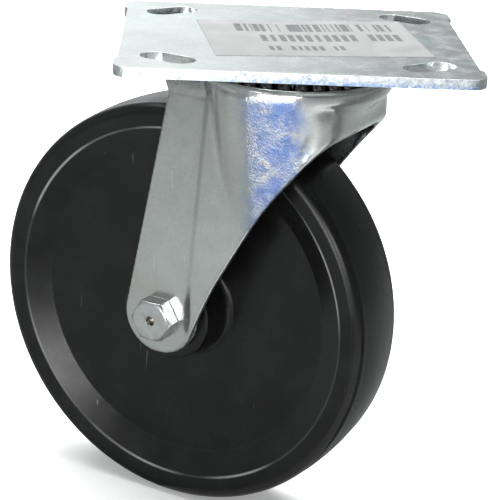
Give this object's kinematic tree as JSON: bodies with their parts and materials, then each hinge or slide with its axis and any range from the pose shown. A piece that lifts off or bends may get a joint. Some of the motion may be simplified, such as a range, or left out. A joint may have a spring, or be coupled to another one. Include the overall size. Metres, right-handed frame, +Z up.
{
  "type": "gate wheel",
  "caption": "Swivel plate caster for a gate: slotted top plate, pressed steel fork on a double ball race, hard moulded wheel on a roller bearing.",
  "frame": {"origin": "centre of the top plate's mounting face, on the swivel axis", "axes": "+Z up out of the mounting face along the swivel axis, +X along the plate's long side, +Y along its short side; at rest the fork leads towards -X and a little +Y"},
  "size_m": [0.1611, 0.1197, 0.179],
  "materials": {
    "zinc_plate": "bright zinc plated, satin",
    "zinc_fork": "bright zinc plated, pressed, satin",
    "race_steel": "hardened steel under a film of grease",
    "ball_steel": "polished bearing steel",
    "bolt_zinc": "zinc plated, satin",
    "bearing_steel": "ground steel",
    "ring_nylon": "nylon",
    "cage_nylon": "moulded nylon",
    "wheel_polyolefin": "moulded polyolefin, satin"
  },
  "bodies": {
    "plate": {"top_plate": "zinc_plate", "kingpin": "bolt_zinc", "lower_race": "race_steel"},
    "upper_ring": {"upper_balls": "ball_steel"},
    "lower_ring": {"lower_balls": "ball_steel"},
    "fork": {"fork": "zinc_fork", "axle_bolt": "bolt_zinc", "axle_nut": "bolt_zinc", "nut_locking_ring": "ring_nylon", "spanner_sleeve": "bearing_steel", "near_thrust_washer": "bearing_steel", "far_thrust_washer": "bearing_steel"},
    "roller_ring": {"roller_cage": "cage_nylon", "axle_rollers": "bearing_steel"},
    "wheel": {"wheel": "wheel_polyolefin"}
  },
  "joints": [
    {"name": "swivel", "type": "hinge", "parent": "plate", "child": "fork", "pos_m": [0, 0, -0.011], "axis": [0, 0, 1], "continuous": true},
    {"name": "upper_ring_orbit", "type": "hinge", "parent": "plate", "child": "upper_ring", "pos_m": [0, 0, -0.011], "axis": [0, 0, 1], "continuous": true},
    {"name": "lower_ring_orbit", "type": "hinge", "parent": "plate", "child": "lower_ring", "pos_m": [0, 0, -0.0182], "axis": [0, 0, 1], "continuous": true},
    {"name": "wheel_spin", "type": "hinge", "parent": "fork", "child": "wheel", "pos_m": [-0.03049, 0.01818, -0.1028], "axis": [0.512, 0.859, 0], "continuous": true},
    {"name": "roller_orbit", "type": "hinge", "parent": "fork", "child": "roller_ring", "pos_m": [-0.03049, 0.01818, -0.1028], "axis": [0.512, 0.859, 0], "continuous": true}
  ],
  "couplings": [
    {"joint": "upper_ring_orbit", "follows": "swivel", "ratio": 0.5333},
    {"joint": "lower_ring_orbit", "follows": "swivel", "ratio": 0.5},
    {"joint": "roller_orbit", "follows": "wheel_spin", "ratio": 0.599}
  ]
}
